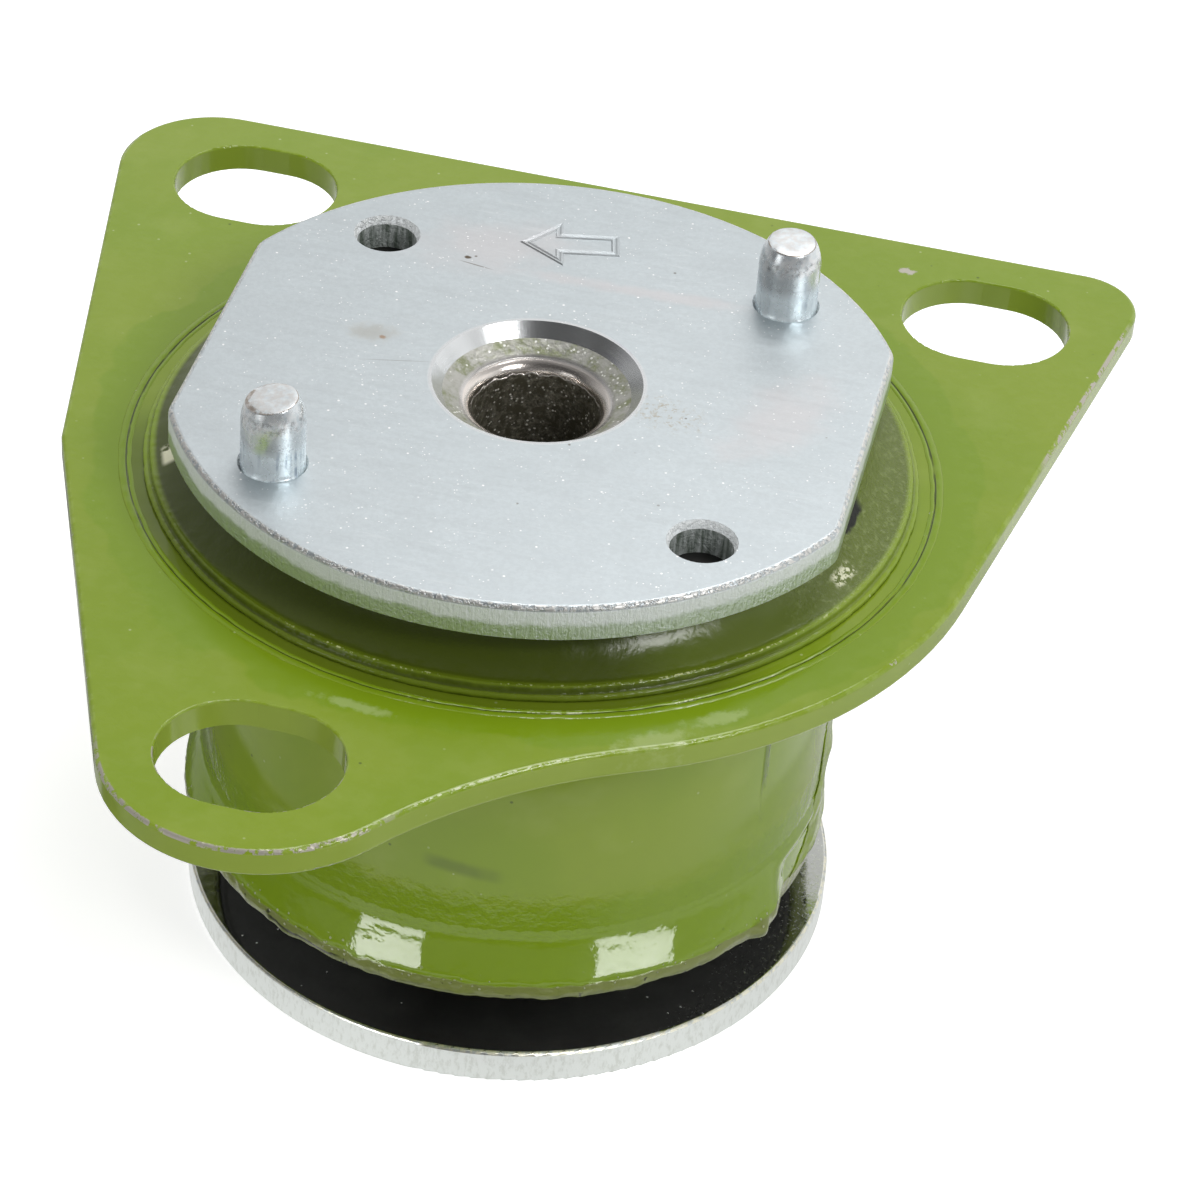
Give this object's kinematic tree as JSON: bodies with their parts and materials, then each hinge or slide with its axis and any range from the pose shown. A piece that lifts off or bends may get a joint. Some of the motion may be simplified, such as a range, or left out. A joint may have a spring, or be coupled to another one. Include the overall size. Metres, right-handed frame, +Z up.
{
  "type": "subframe bushing",
  "caption": "Rubber mount in a steel cup, hung in a flat flange bracket with slotted corners, between a zinc-plated top plate with locating pins and a lower disc.",
  "frame": {"origin": "on the bore's axis, at the underside of the lower disc", "axes": "+Z up the bore towards the top plate, +X along the bracket's straight back edge, +Y towards that edge"},
  "size_m": [0.1523, 0.1608, 0.0963],
  "materials": {
    "zinc_plate": "pale blue zinc plate, satin, finely scratched",
    "zinc_pin": "bright zinc plate, turned",
    "zinc_tube": "zinc plate, machined, with green overspray on the end",
    "zinc_disc": "zinc plate, polished top face, satin edge",
    "painted_rubber": "black rubber under glossy green paint that has chipped off in places",
    "green_bracket": "thick glossy green paint with runs and worn edges",
    "green_cup": "thick glossy green paint"
  },
  "bodies": {
    "core": {"top_plate": "zinc_plate", "back_pin": "zinc_pin", "front_pin": "zinc_pin", "inner_tube": "zinc_tube", "lower_disc": "zinc_disc", "rubber_body": "painted_rubber"},
    "housing": {"flange_bracket": "green_bracket", "outer_cup": "green_cup"}
  },
  "joints": [
    {"name": "axial_travel", "type": "slide", "parent": "core", "child": "housing", "axis": [0, 0, 1], "range_m": [-0.009, 0.003], "stiffness_N_per_m": 240000, "deforming": ["rubber_body"]}
  ]
}
